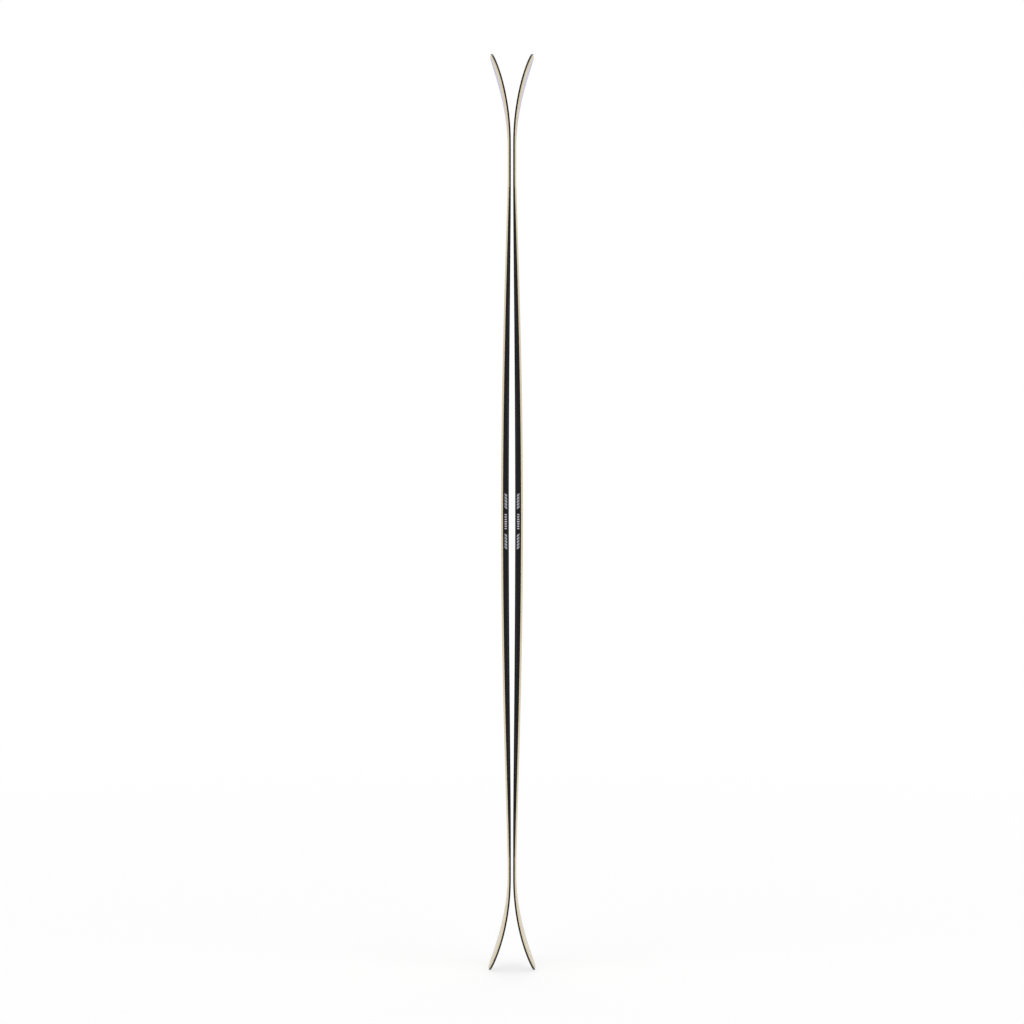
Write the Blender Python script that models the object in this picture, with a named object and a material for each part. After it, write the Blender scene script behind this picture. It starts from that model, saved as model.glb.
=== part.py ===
"""A pair of twin-tip alpine skis, upright and base to base, each as its separate laminated pieces.

Frame: Z runs up along the skis, tips up, X runs across the pair and Y across each ski's width.
The origin is midway between the two tail ends, at their lowest point.

A ski has its own coordinates: s runs along its base from the middle of the running length, positive
towards the tip, y runs across it, and h is the height above the base, towards the topsheet. Its layers
are bonded with resin, so each pair of neighbouring layers has one line of glue between them.
"""

import math

import bmesh
import bpy
from mathutils import Vector

MM = 0.001
PIECES = "alpine_ski_pair"

# Plan of a ski
LENGTH = 1800 * MM
TIP_WIDTH = 120 * MM
WAIST_WIDTH = 93 * MM
TAIL_WIDTH = 110 * MM
TIP_ROUNDING = 78 * MM
TAIL_ROUNDING = 105 * MM

# Side view of a ski
TIP_BEND_RADIUS = 474 * MM
TIP_BEND_ANGLE = math.radians(22.75)
TAIL_BEND_RADIUS = 454 * MM
TAIL_BEND_ANGLE = math.radians(24.4)
CAMBER = 4.0 * MM
CONTACT_LENGTH = 72 * MM
BOOT_CENTRE = -22 * MM
TAPER_LENGTH = 1334 * MM
TAPER_POWER = 1.09

# The gap between the two bases
PAIR_GAP = 4.4 * MM

# Layers, from the base up
GLUE = 0.1 * MM
BASE_SHEET = 1.4 * MM
EDGE_WIDTH = 2.0 * MM
EDGE_FLANGE_WIDTH = 5.0 * MM
EDGE_FLANGE = 0.5 * MM
RUBBER = 0.2 * MM
LOWER_LAMINATE = 0.8 * MM
CORE = 10.4 * MM
SPACER = 1.3 * MM
BINDING_PLATE = 0.6 * MM
UPPER_LAMINATE = 0.5 * MM
TOPSHEET = 0.8 * MM

# Sidewalls, cap border and core
SIDEWALL_HEIGHT = 8.2 * MM
SIDEWALL_WIDTH = 8.0 * MM
BORDER_WALL = 3.0 * MM
BEVEL_RUN = 2.5 * MM
BEVEL_HEIGHT = 1.6 * MM
CAP_SETBACK = 2.0 * MM
CORE_END_INSET = 16 * MM
PLATE_LENGTH = 520 * MM
CENTRE_STRINGER_WIDTH = 20 * MM
INNER_STRINGER_WIDTH = 14 * MM

# How finely the curves are cut, and how long the step in the core beyond the plate is
LONG_STEP = 110 * MM
BEND_STEP = 22 * MM
ROUNDING_STEPS = 9
LEDGE = 0.2 * MM

# Heights above the base
FLANGE_BOTTOM = BASE_SHEET + GLUE
EDGE_HEIGHT = FLANGE_BOTTOM + EDGE_FLANGE
RUBBER_BOTTOM = EDGE_HEIGHT + GLUE
RUBBER_TOP = RUBBER_BOTTOM + RUBBER
LAMINATE_BOTTOM = RUBBER_TOP + GLUE
LAMINATE_TOP = LAMINATE_BOTTOM + LOWER_LAMINATE
CORE_BOTTOM = LAMINATE_TOP + GLUE
TOP_STACK = GLUE + UPPER_LAMINATE + GLUE + TOPSHEET
END_THICKNESS = CORE_BOTTOM + SPACER + TOP_STACK
MID_THICKNESS = CORE_BOTTOM + CORE + TOP_STACK

# Insets from the ski's side
FLANGE_INSET = EDGE_WIDTH + EDGE_FLANGE_WIDTH
INSIDE_CAP = BORDER_WALL + GLUE
INSIDE_SIDEWALL = SIDEWALL_WIDTH + GLUE

# Places along the base
TIP_BEND_HEIGHT = TIP_BEND_RADIUS * math.sin(TIP_BEND_ANGLE)
TAIL_BEND_HEIGHT = TAIL_BEND_RADIUS * math.sin(TAIL_BEND_ANGLE)
HALF_RUNNING_LENGTH = (LENGTH - TIP_BEND_HEIGHT - TAIL_BEND_HEIGHT) / 2
TIP_WIDEST = HALF_RUNNING_LENGTH + TIP_BEND_RADIUS * TIP_BEND_ANGLE - TIP_ROUNDING
TAIL_WIDEST = -HALF_RUNNING_LENGTH - TAIL_BEND_RADIUS * TAIL_BEND_ANGLE + TAIL_ROUNDING
CAMBER_REACH = HALF_RUNNING_LENGTH - CONTACT_LENGTH
CORE_TIP = BOOT_CENTRE + TAPER_LENGTH / 2 - CORE_END_INSET
CORE_TAIL = BOOT_CENTRE - TAPER_LENGTH / 2 + CORE_END_INSET
PLATE_REACH = PLATE_LENGTH / 2
MIDDLE_Z = HALF_RUNNING_LENGTH + TAIL_BEND_HEIGHT


def fullness(s):
    """How full the core is at s, from 0 at the ends of its taper to 1 at the boot centre."""
    share = (s - BOOT_CENTRE) / (TAPER_LENGTH / 2)
    return max(0.0, 1 - share * share) ** TAPER_POWER


def thickness(s):
    return END_THICKNESS + (MID_THICKNESS - END_THICKNESS) * fullness(s)


def side_top(s):
    """Height at which the upper laminate's glue lies on the sidewalls and on the binding plate."""
    return thickness(s) - TOP_STACK


def core_top(s):
    """The core is lower under the binding plate than beyond it."""
    if abs(s - BOOT_CENTRE) < PLATE_REACH + LEDGE * 1.5:
        return side_top(s) - BINDING_PLATE - GLUE
    return side_top(s)


def border_bottom(s):
    """The cap's border comes down to the sidewall, and beyond the core to the lower laminate."""
    if CORE_TAIL - GLUE / 2 < s < CORE_TIP + GLUE / 2:
        return CORE_BOTTOM + SIDEWALL_HEIGHT * fullness(s) + GLUE
    return CORE_BOTTOM


def half_width(s):
    """One parabola from the waist to each of the two widest places."""
    widest, place = (TIP_WIDTH, TIP_WIDEST) if s > BOOT_CENTRE else (TAIL_WIDTH, TAIL_WIDEST)
    share = (s - BOOT_CENTRE) / (place - BOOT_CENTRE)
    return (WAIST_WIDTH + (widest - WAIST_WIDTH) * share * share) / 2


def base_line(s):
    """How far the base is from the contact plane at s, how far along it, and how far it has turned."""
    past = abs(s) - HALF_RUNNING_LENGTH
    if past > 0:
        radius = TIP_BEND_RADIUS if s > 0 else TAIL_BEND_RADIUS
        turn = past / radius
        return radius * (1 - math.cos(turn)), HALF_RUNNING_LENGTH + radius * math.sin(turn), turn
    share = min(1.0, abs(s) / CAMBER_REACH)
    return CAMBER * (1 - share * share) ** 1.5, abs(s), 0.0


def bent(s, y, h):
    """Where a place of the straight ski lies on the bent one, whose base faces -X."""
    away, along, turn = base_line(s)
    z = along - h * math.sin(turn)
    return Vector((away + h * math.cos(turn), y, math.copysign(z, s)))


class Side:
    """A cross-section between the two widest places."""

    def __init__(self, s):
        self.s = s

    def at(self, inset, setback=0.0):
        return self.s, half_width(self.s) - inset


class Rounding:
    """A cross-section of a rounded end, whose plan is half an ellipse. A tail has a negative length."""

    def __init__(self, widest, width, length, turn):
        self.s = widest
        self.half = width / 2
        self.length = length
        self.turn = turn

    def at(self, inset, setback=0.0):
        run = math.copysign(abs(self.length) - inset - setback, self.length)
        return self.s + run * math.sin(self.turn), (self.half - inset) * math.cos(self.turn)


def rounding(widest, width, length):
    turns = [math.pi / 2 * (i + 1) / ROUNDING_STEPS for i in range(ROUNDING_STEPS)]
    return [Rounding(widest, width, length, turn) for turn in turns]


def side_places():
    """Places between the two widest ones, closer together in the bends."""
    marks = [TAIL_WIDEST, -HALF_RUNNING_LENGTH, -CAMBER_REACH]
    marks += [CORE_TAIL - GLUE, CORE_TAIL, CORE_TIP, CORE_TIP + GLUE]
    marks += [CAMBER_REACH, HALF_RUNNING_LENGTH, TIP_WIDEST]
    reaches = [LONG_STEP / 2, PLATE_REACH, PLATE_REACH + LEDGE, PLATE_REACH + LEDGE * 2, TAPER_LENGTH / 2]
    marks += [BOOT_CENTRE + side * reach for side in (-1, 1) for reach in reaches]
    marks.sort()
    places = []
    for low, high in zip(marks, marks[1:]):
        straight = -HALF_RUNNING_LENGTH <= low < HALF_RUNNING_LENGTH
        count = math.ceil((high - low) / (LONG_STEP if straight else BEND_STEP))
        places += [low + (high - low) * i / count for i in range(count)]
    return places + [TIP_WIDEST]


def from_tail(places):
    return rounding(TAIL_WIDEST, TAIL_WIDTH, -TAIL_ROUNDING)[::-1] + places


def to_tip(places):
    return places + rounding(TIP_WIDEST, TIP_WIDTH, TIP_ROUNDING)


SIDES = [Side(s) for s in side_places()]
WHOLE_SKI = from_tail(to_tip(SIDES))
ALONG_CORE = [place for place in SIDES if CORE_TAIL <= place.s <= CORE_TIP]
ALONG_PLATE = [place for place in SIDES if abs(place.s - BOOT_CENTRE) < PLATE_REACH + LEDGE / 2]
TIP_PLACES = to_tip([place for place in SIDES if place.s > CORE_TIP])
TAIL_PLACES = from_tail([place for place in SIDES if place.s < CORE_TAIL])


def linear(value):
    """A colour value from 0 to 255, as seen, as the linear value that a shader takes."""
    share = value / 255
    return share / 12.92 if share <= 0.04045 else ((share + 0.055) / 1.055) ** 2.4


def finish(name, colour, roughness, metallic=0.0):
    material = bpy.data.materials.get(name)
    if material:
        return material
    material = bpy.data.materials.new(name)
    material.use_nodes = True
    shader = material.node_tree.nodes["Principled BSDF"]
    shader.inputs["Base Color"].default_value = [linear(value) for value in colour] + [1.0]
    shader.inputs["Roughness"].default_value = roughness
    shader.inputs["Metallic"].default_value = metallic
    return material


def black_polyethylene():
    return finish("black_polyethylene", (38, 38, 42), 0.4)


def edge_steel():
    return finish("edge_steel", (120, 121, 124), 0.35, metallic=1.0)


def black_rubber():
    return finish("black_rubber", (30, 30, 31), 0.8)


def dark_glass_fibre():
    return finish("dark_glass_fibre", (58, 56, 52), 0.5)


def clear_glass_fibre():
    return finish("clear_glass_fibre", (186, 187, 170), 0.45)


def poplar_wood():
    return finish("poplar_wood", (214, 189, 145), 0.7)


def ash_wood():
    return finish("ash_wood", (190, 158, 112), 0.7)


def sidewall_plastic():
    return finish("sidewall_plastic", (38, 38, 42), 0.45)


def spacer_plastic():
    return finish("spacer_plastic", (60, 60, 64), 0.6)


def plate_aluminium():
    return finish("plate_aluminium", (176, 178, 182), 0.4, metallic=1.0)


def topsheet_print():
    return finish("topsheet_print", (214, 203, 178), 0.35)


def lofted(rings):
    """A closed mesh through rings of points. A ring that lies on the middle line closes it as a nose."""
    mesh = bmesh.new()
    corners = [[mesh.verts.new(point) for point in ring] for ring in rings]
    for low, high in zip(corners, corners[1:]):
        for i in range(len(low)):
            mesh.faces.new((low[i - 1], low[i], high[i], high[i - 1]))
    for ring in (corners[0], corners[-1]):
        if max(abs(corner.co.y) for corner in ring) > GLUE / 4:
            mesh.faces.new(ring)
    bmesh.ops.remove_doubles(mesh, verts=mesh.verts, dist=GLUE / 100)
    bmesh.ops.recalc_face_normals(mesh, faces=mesh.faces)
    return mesh


class Ski:
    """One ski of the pair: its name, which way its topsheet faces along X, and the empty that carries it."""

    def __init__(self, name, facing):
        self.name = name
        self.facing = facing
        self.carrier = bpy.data.objects.new(f"{name}_ski", None)
        self.carrier.location = (facing * PAIR_GAP / 2, 0, MIDDLE_Z)
        bpy.data.collections[PIECES].objects.link(self.carrier)

    def point(self, s, y, h):
        place = bent(s, y, h)
        return Vector((self.facing * place.x, place.y, place.z))

    def add(self, name, rings, material):
        mesh = bpy.data.meshes.new(f"{self.name}_{name}")
        solid = lofted([[self.point(*corner) for corner in ring] for ring in rings])
        solid.to_mesh(mesh)
        solid.free()
        mesh.materials.append(material)
        piece = bpy.data.objects.new(f"{self.name}_{name}", mesh)
        piece.parent = self.carrier
        bpy.data.collections[PIECES].objects.link(piece)

    def sheet(self, name, places, section, material):
        """A piece that spans the ski. Its section runs from its lower to its upper face along one side."""
        rings = []
        for place in places:
            side = section(place)
            rings.append(side + [(s, -y, h) for s, y, h in reversed(side)])
        self.add(name, rings, material)

    def strips(self, name, places, section, material):
        """A front and a back piece, alike but mirrored. At the ends of the ski they meet at a glue line."""
        for hand, sign in (("front", -1), ("back", 1)):
            rings = [[(s, sign * max(y, GLUE / 2), h) for s, y, h in section(place)] for place in places]
            self.add(f"{name}_{hand}", rings, material)


def running_base(ski):
    def section(place):
        side = place.at(EDGE_WIDTH + GLUE)
        return [(*side, 0.0), (*side, BASE_SHEET)]

    ski.sheet("running_base", WHOLE_SKI, section, black_polyethylene())


def steel_edges(ski):
    """Each edge has a running part at the side of the base and a flange that lies on the base."""
    def section(place):
        outer, inner, flange = place.at(0.0), place.at(EDGE_WIDTH), place.at(FLANGE_INSET)
        running = [(*inner, FLANGE_BOTTOM), (*inner, 0.0), (*outer, 0.0), (*outer, EDGE_HEIGHT)]
        return running + [(*flange, EDGE_HEIGHT), (*flange, FLANGE_BOTTOM)]

    ski.strips("steel_edge", WHOLE_SKI, section, edge_steel())


def edge_rubbers(ski):
    def section(place):
        outer, inner = place.at(0.0), place.at(FLANGE_INSET)
        return [(*inner, RUBBER_BOTTOM), (*outer, RUBBER_BOTTOM), (*outer, RUBBER_TOP), (*inner, RUBBER_TOP)]

    ski.strips("edge_rubber", WHOLE_SKI, section, black_rubber())


def lower_laminate(ski):
    """The laminate fills the space between the edges' flanges and spreads over them to the sides."""
    def section(place):
        middle, side = place.at(FLANGE_INSET + GLUE), place.at(0.0)
        filling = [(*middle, FLANGE_BOTTOM), (*middle, LAMINATE_BOTTOM)]
        return filling + [(*side, LAMINATE_BOTTOM), (*side, LAMINATE_TOP)]

    ski.sheet("lower_laminate", WHOLE_SKI, section, dark_glass_fibre())


def core_centre(ski):
    def section(place):
        half = CENTRE_STRINGER_WIDTH / 2
        return [(place.s, half, CORE_BOTTOM), (place.s, half, core_top(place.s))]

    ski.sheet("core_centre", ALONG_CORE, section, poplar_wood())


def stringer_section(s, inner, outer):
    top = core_top(s)
    return [(s, inner, CORE_BOTTOM), (s, outer, CORE_BOTTOM), (s, outer, top), (s, inner, top)]


def core_inner_stringers(ski):
    def section(place):
        inner = CENTRE_STRINGER_WIDTH / 2 + GLUE
        return stringer_section(place.s, inner, inner + INNER_STRINGER_WIDTH)

    ski.strips("core_inner", ALONG_CORE, section, ash_wood())


def core_outer_stringers(ski):
    """The outer stringers are cut to the curve of the sidewalls."""
    def section(place):
        inner = CENTRE_STRINGER_WIDTH / 2 + GLUE + INNER_STRINGER_WIDTH + GLUE
        s, outer = place.at(INSIDE_SIDEWALL)
        return stringer_section(s, inner, outer)

    ski.strips("core_outer", ALONG_CORE, section, poplar_wood())


def sidewalls(ski):
    """Each sidewall has a ledge that carries the cap's border."""
    def section(place):
        outer, shoulder, inner = place.at(0.0), place.at(INSIDE_CAP), place.at(SIDEWALL_WIDTH)
        ledge, top = border_bottom(place.s) - GLUE, side_top(place.s)
        visible = [(*outer, CORE_BOTTOM), (*outer, ledge), (*shoulder, ledge)]
        return visible + [(*shoulder, top), (*inner, top), (*inner, CORE_BOTTOM)]

    ski.strips("sidewall", ALONG_CORE, section, sidewall_plastic())


def end_spacers(ski):
    """Thin plastic sheets that take over from the core at both ends."""
    def section(place):
        side = place.at(INSIDE_CAP, CAP_SETBACK)
        return [(*side, CORE_BOTTOM), (*side, side_top(place.s))]

    ski.sheet("tip_spacer", TIP_PLACES, section, spacer_plastic())
    ski.sheet("tail_spacer", TAIL_PLACES, section, spacer_plastic())


def binding_plate(ski):
    """The sheet in the core's recess that the binding screws are driven into."""
    def section(place):
        side = place.at(INSIDE_SIDEWALL)
        top = side_top(place.s)
        return [(*side, top - BINDING_PLATE), (*side, top)]

    ski.sheet("binding_plate", ALONG_PLATE, section, plate_aluminium())


def upper_laminate(ski):
    def section(place):
        side = place.at(INSIDE_CAP, CAP_SETBACK)
        bottom = side_top(place.s) + GLUE
        return [(*side, bottom), (*side, bottom + UPPER_LAMINATE)]

    ski.sheet("upper_laminate", WHOLE_SKI, section, clear_glass_fibre())


def topsheet(ski):
    """A cap: its flat top, and a border that comes down each side, upright below and bevelled above."""
    def section(place):
        inner, outer = place.at(BORDER_WALL, CAP_SETBACK), place.at(0.0, CAP_SETBACK)
        brink = place.at(BEVEL_RUN, CAP_SETBACK)
        top, bottom = thickness(place.s), border_bottom(place.s)
        bevel_foot = top - min(BEVEL_HEIGHT, (top - bottom) * 0.8)
        wall = [(*inner, top - TOPSHEET), (*inner, bottom), (*outer, bottom)]
        return wall + [(*outer, bevel_foot), (*brink, top)]

    ski.sheet("topsheet", WHOLE_SKI, section, topsheet_print())


def ski_of_the_pair(name, facing):
    ski = Ski(name, facing)
    running_base(ski)
    steel_edges(ski)
    edge_rubbers(ski)
    lower_laminate(ski)
    core_centre(ski)
    core_inner_stringers(ski)
    core_outer_stringers(ski)
    sidewalls(ski)
    end_spacers(ski)
    binding_plate(ski)
    upper_laminate(ski)
    topsheet(ski)


def main():
    for old in list(bpy.data.objects):
        bpy.data.objects.remove(old)
    pieces = bpy.data.collections.new(PIECES)
    bpy.context.scene.collection.children.link(pieces)
    ski_of_the_pair("left", -1)
    ski_of_the_pair("right", 1)


main()
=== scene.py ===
"""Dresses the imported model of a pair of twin-tip alpine skis that stand upright, base to base.

Row frame: Z runs up along the skis, X across the pair and Y across each ski's width. A ski has its own
coordinates too: s runs along its base from the middle of the running length, positive towards the tip,
y runs across it, and h is the height above the base, towards the topsheet.
"""

import math

import bmesh
import bpy
import numpy as np
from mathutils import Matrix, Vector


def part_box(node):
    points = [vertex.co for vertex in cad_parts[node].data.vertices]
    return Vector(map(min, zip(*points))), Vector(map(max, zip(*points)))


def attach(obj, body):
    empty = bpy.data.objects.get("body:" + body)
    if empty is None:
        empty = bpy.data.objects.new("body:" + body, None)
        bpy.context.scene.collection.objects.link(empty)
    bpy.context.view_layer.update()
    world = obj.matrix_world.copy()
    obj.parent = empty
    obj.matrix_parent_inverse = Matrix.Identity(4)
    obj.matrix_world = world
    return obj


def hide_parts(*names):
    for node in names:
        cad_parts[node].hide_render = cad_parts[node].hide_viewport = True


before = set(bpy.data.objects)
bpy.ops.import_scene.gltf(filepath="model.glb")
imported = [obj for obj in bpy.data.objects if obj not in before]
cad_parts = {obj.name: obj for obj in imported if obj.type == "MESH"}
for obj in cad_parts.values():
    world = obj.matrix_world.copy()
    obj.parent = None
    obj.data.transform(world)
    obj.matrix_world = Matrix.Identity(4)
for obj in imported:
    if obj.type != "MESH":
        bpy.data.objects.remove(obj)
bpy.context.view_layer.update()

bl_info = {
    "name": "Alpine ski pair",
    "version": (1, 0, 0),
    "blender": (4, 5, 0),
    "location": "3D View > Sidebar > Skis",
    "description": "Makes the visible layers of two laminated skis, their finishes and a plain studio",
    "category": "Add Mesh",
}

MM = 0.001
SKIS = (("left", -1), ("right", 1))
SIDES = (("front", -1), ("back", 1))

# A point's place (s, y, h) on the straight ski, and its distances in from the side and down from the top
PLACE = "ski_place"
EDGE = "ski_edge"

# How finely the surfaces are made
END_RINGS = 48
BEND_STEP = 4 * MM
RUNNING_STEP = 12 * MM
CORNER_POINTS = 5
CORNER_SHARE = 0.22  # the most that a round corner takes of a face
MERGE_WITHIN = 0.002 * MM
SHARP_FROM = math.radians(32)
NODE_TOLERANCE = 0.5 * MM

# Properties

def size(name, millimetres, description):
    return bpy.props.FloatProperty(
        name=name, description=description, default=millimetres * MM,
        subtype="DISTANCE", unit="LENGTH", precision=5)


def number(name, value, description):
    return bpy.props.FloatProperty(name=name, description=description, default=value)


def angle(name, degrees, description):
    return bpy.props.FloatProperty(
        name=name, description=description, default=math.radians(degrees), subtype="ANGLE", unit="ROTATION")


def linear(value):
    """A colour value from 0 to 255, as seen, as the linear value that a shader takes."""
    share = value / 255
    return share / 12.92 if share <= 0.04045 else ((share + 0.055) / 1.055) ** 2.4


def colour(name, seen, description):
    return bpy.props.FloatVectorProperty(
        name=name, description=description, default=[linear(value) for value in seen],
        subtype="COLOR", size=3, min=0.0, max=1.0)


class SkiSizes(bpy.types.PropertyGroup):
    """Sizes of one ski and of the pair"""

    length: size("Length", 1800, "Height of the upright ski")
    tip_width: size("Tip width", 120, "Widest place near the tip")
    waist_width: size("Waist width", 93, "Narrowest place, at the boot centre")
    tail_width: size("Tail width", 110, "Widest place near the tail")
    tip_rounding: size("Tip rounding", 78, "Length of the half ellipse that ends the tip")
    tail_rounding: size("Tail rounding", 105, "Length of the half ellipse that ends the tail")
    tip_bend_radius: size("Tip bend radius", 474, "Radius that the base follows in the tip")
    tip_bend_angle: angle("Tip bend angle", 22.75, "How far the tip turns up")
    tail_bend_radius: size("Tail bend radius", 454, "Radius that the base follows in the tail")
    tail_bend_angle: angle("Tail bend angle", 24.4, "How far the tail turns up")
    camber: size("Camber", 4.0, "How far the middle of the base lies from the contact plane")
    contact_length: size("Contact length", 72, "Flat length between the camber and each bend")
    boot_centre: size("Boot centre", -22, "Boot's middle, from the middle of the running length")
    taper_length: size("Taper length", 1334, "Length over which the ski is thicker than its ends")
    taper_power: number("Taper power", 1.09, "How pointed the taper of the thickness is")
    pair_gap: size("Pair gap", 4.4, "Gap between the two bases")
    glue: size("Glue line", 0.1, "Glue between two layers")
    base_sheet: size("Base sheet", 1.4, "Thickness of the running base")
    edge_width: size("Edge width", 2.0, "Width of a steel edge's running part")
    flange_width: size("Flange width", 5.0, "How far an edge's flange reaches inwards")
    flange: size("Flange", 0.5, "Thickness of the flange")
    rubber: size("Rubber", 0.2, "Thickness of the damping strip")
    lower_laminate: size("Lower laminate", 0.8, "Thickness of the glass fibre under the core")
    core: size("Core", 10.4, "Thickness of the core at the boot centre")
    spacer: size("Spacer", 1.3, "Thickness of the tip and tail spacers")
    upper_laminate: size("Upper laminate", 0.5, "Thickness of the glass fibre over the core")
    topsheet: size("Topsheet", 0.8, "Thickness of the cap")
    sidewall_height: size("Sidewall height", 8.2, "Height of a sidewall's visible face at the boot centre")
    sidewall_width: size("Sidewall width", 8.0, "How far a sidewall reaches inwards")
    border_wall: size("Border wall", 3.0, "Thickness of the cap's border")
    bevel_run: size("Bevel run", 2.5, "How far the border's bevel reaches inwards")
    bevel_height: size("Bevel height", 1.6, "How far the border's bevel comes down")
    cap_setback: size("Cap setback", 2.0, "How far the cap ends short of the base at tip and tail")
    core_end_inset: size("Core end inset", 16, "How far the core ends short of the taper")
    cap_round: size("Cap corners", 0.55, "Rounding of the corners that show on the cap")
    edge_round: size("Edge corners", 0.12, "Rounding of the corners of steel and base")
    wall_round: size("Sidewall corners", 0.25, "Rounding of the sidewall's corners")


class SkiColours(bpy.types.PropertyGroup):
    """Colours of the finishes, and where the marks of the sidewall lie"""

    print_tip: colour("Tip print", (177, 167, 216), "Lavender of the topsheet's tip")
    print_blue: colour("Blue print", (163, 168, 232), "Bluer bands in the lavender")
    print_shade: colour("Shaded print", (159, 153, 180), "Greyer bands in the lavender")
    print_middle: colour("Middle print", (222, 211, 192), "Beige of the topsheet's middle")
    print_tail: colour("Tail print", (212, 202, 181), "Pale beige of the topsheet's tail")
    print_side: colour("Side print", (212, 199, 167), "Cream beige along the front side of tip and tail")
    border_wall: colour("Border", (220, 207, 175), "Cream of the cap's upright border")
    border_ends: colour("End border", (225, 210, 175), "Deeper cream of the border towards tip and tail")
    border_bevel: colour("Bevel", (220, 205, 176), "Beige of the cap's bevel")
    sidewall: colour("Sidewall", (26, 25, 31), "Black plastic of the sidewalls")
    marks: colour("Marks", (171, 174, 183), "Light grey of the bars on the sidewalls")
    marks_worn: colour("Worn marks", (140, 143, 151), "Their grey where they are worn, towards the cap")
    ticks: colour("Ticks", (190, 191, 200), "Paler grey of the row of ticks between the bars")
    steel: colour("Steel", (88, 86, 90), "Dull steel of the edges' sides")
    # Painted dark reflection: the edges' steel is made dark brownish round tip and tail, in place of the dark
    # reflection there
    steel_ends_painted_reflection: colour("Steel ends", (40, 36, 32), "Dull brownish steel round tip and tail")
    steel_ground: colour("Ground steel", (158, 157, 156), "Bright steel that is ground level with the base")
    base: colour("Running base", (24, 24, 27), "Black polyethylene")
    rubber: colour("Rubber", (26, 26, 27), "Damping strips")
    dark_fibre: colour("Dark glass fibre", (42, 41, 43), "Lower laminate")
    clear_fibre: colour("Clear glass fibre", (186, 187, 170), "Upper laminate")
    poplar: colour("Poplar", (214, 189, 145), "Light stringers of the core")
    ash: colour("Ash", (190, 158, 112), "Dark stringers of the core")
    spacer: colour("Spacer", (60, 60, 64), "Plastic of the tip and tail spacers")
    plate: colour("Plate", (176, 178, 182), "Metal sheet under the bindings")
    bar_pitch: size("Bar pitch", 5.95, "From one slanted bar to the next")
    bar_length: size("Bar length", 4.4, "Length of a bar along the ski")
    bar_slant: number("Bar slant", 0.73, "How far a bar runs along the ski for its height")
    bar_bottom: size("Bar bottom", 3.55, "Height above the base at which the bars start")
    bar_top: size("Bar top", 8.25, "Height above the base at which the bars end")
    bar_count: number("Bars in a block", 5, "How many slanted bars a block has")
    bars_ahead: size("Bars ahead", 27.1, "From the boot centre to the block towards the tip")
    tick_middle: size("Tick middle", 1.2, "From the boot centre to the middle of the row of ticks")
    tick_pitch: size("Tick pitch", 4.5, "From one tick to the next")
    tick_length: size("Tick length", 2.45, "Length of a tick along the ski")
    bars_behind: size("Bars behind", -51.2, "From the boot centre to the block towards the tail")


class StudioSettings(bpy.types.PropertyGroup):
    """Camera, floor and light"""

    camera_distance: size("Camera distance", 4360, "From the middle of the pair to the camera")
    camera_height: size("Camera height", 900, "Height of the camera")
    lens: number("Lens", 77.98, "Focal length for a 36 mm sensor")
    floor_radius: size("Floor radius", 9000, "Radius of the floor")
    shadow_radius: size("Shadow radius", 1000, "Distance out to which the floor shows shadows")
    white_radius: size("White radius", 4500, "Distance from which the floor looks white")
    shadow_white: number("White near the skis", 0.78, "Share of white in the floor's look near the skis")
    room_light: number("Room light", 0.55, "Light that comes evenly from all round")
    lamp_angle: angle("Lamp angle", 50, "How soft the lamps are")
    floor: colour("Floor", (252, 252, 252), "Colour of the floor")


# Shapes

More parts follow.
